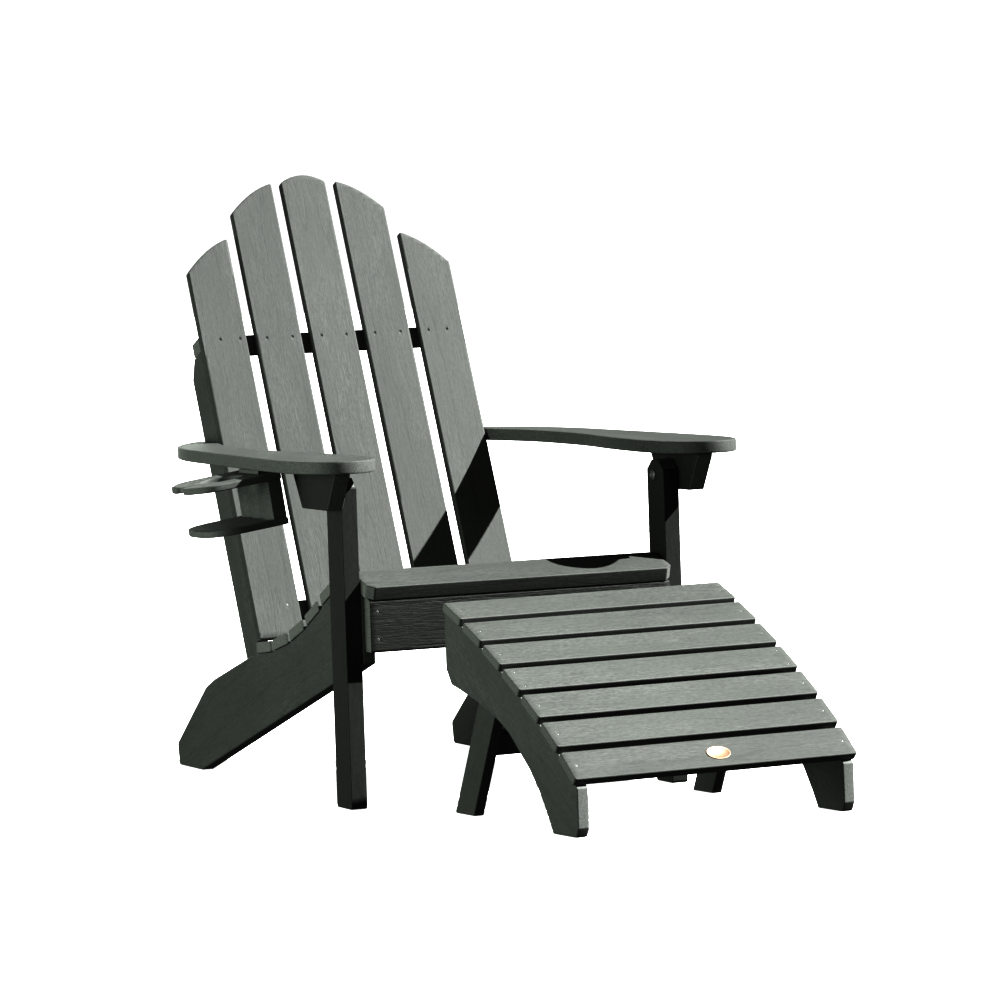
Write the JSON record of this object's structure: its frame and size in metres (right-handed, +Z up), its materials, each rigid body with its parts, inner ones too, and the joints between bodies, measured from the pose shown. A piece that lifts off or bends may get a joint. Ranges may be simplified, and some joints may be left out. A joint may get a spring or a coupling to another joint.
{
  "type": "adirondack chair",
  "caption": "Slatted adirondack chair with a reclined arched back, wide arms, a hanging cup holder and a matching curved ottoman on folding legs.",
  "frame": {"origin": "middle of the footprint box of the chair and ottoman together, on the ground", "axes": "+Z up, +Y towards the back of the chair, +X to the right as seen from in front"},
  "size_m": [0.9698, 1.556, 1.0926],
  "materials": {
    "lumber": "satin plastic lumber with a fine pressed wood grain, green-grey",
    "fastener": "dull stainless steel",
    "badge": "pale copper, blank"
  },
  "bodies": {
    "chair": {"side_rail_left": "lumber", "side_rail_right": "lumber", "front_leg_left": "lumber", "front_leg_right": "lumber", "apron": "lumber", "seat_front": "lumber", "seat_slat_1": "lumber", "seat_slat_2": "lumber", "seat_slat_3": "lumber", "seat_slat_4": "lumber", "seat_slat_5": "lumber", "seat_slat_6": "lumber", "back_slat_1": "lumber", "back_slat_2": "lumber", "back_slat_3": "lumber", "back_slat_4": "lumber", "back_slat_5": "lumber", "back_rail_upper": "lumber", "back_rail_lower": "lumber", "back_post_left": "lumber", "back_post_right": "lumber", "arm_left": "lumber", "arm_bracket_left": "lumber", "arm_right": "lumber", "arm_bracket_right": "lumber", "leg_bolt_left": "fastener", "leg_bolt_right": "fastener", "cup_ring_plate": "lumber", "cup_base_plate": "lumber", "cup_riser": "lumber", "cup_wedge": "lumber"},
    "ottoman": {"ottoman_slat_1": "lumber", "ottoman_slat_2": "lumber", "ottoman_slat_3": "lumber", "ottoman_slat_4": "lumber", "ottoman_slat_5": "lumber", "ottoman_slat_6": "lumber", "ottoman_slat_7": "lumber", "ottoman_rail_left": "lumber", "ottoman_rail_right": "lumber", "ottoman_pivot_left": "fastener", "ottoman_pivot_right": "fastener", "badge": "badge"},
    "ottoman_legs": {"ottoman_leg_left": "lumber", "ottoman_leg_right": "lumber", "ottoman_brace": "lumber"}
  },
  "joints": [
    {"name": "ottoman_slide", "type": "slide", "parent": "chair", "child": "ottoman", "axis": [0, -1, 0], "range_m": [0, 0.35]},
    {"name": "ottoman_leg_fold", "type": "hinge", "parent": "ottoman", "child": "ottoman_legs", "pos_m": [0.12107, -0.44002, 0.24], "axis": [-0.9971, -0.0767, 0], "range_deg": [0, 72]}
  ]
}
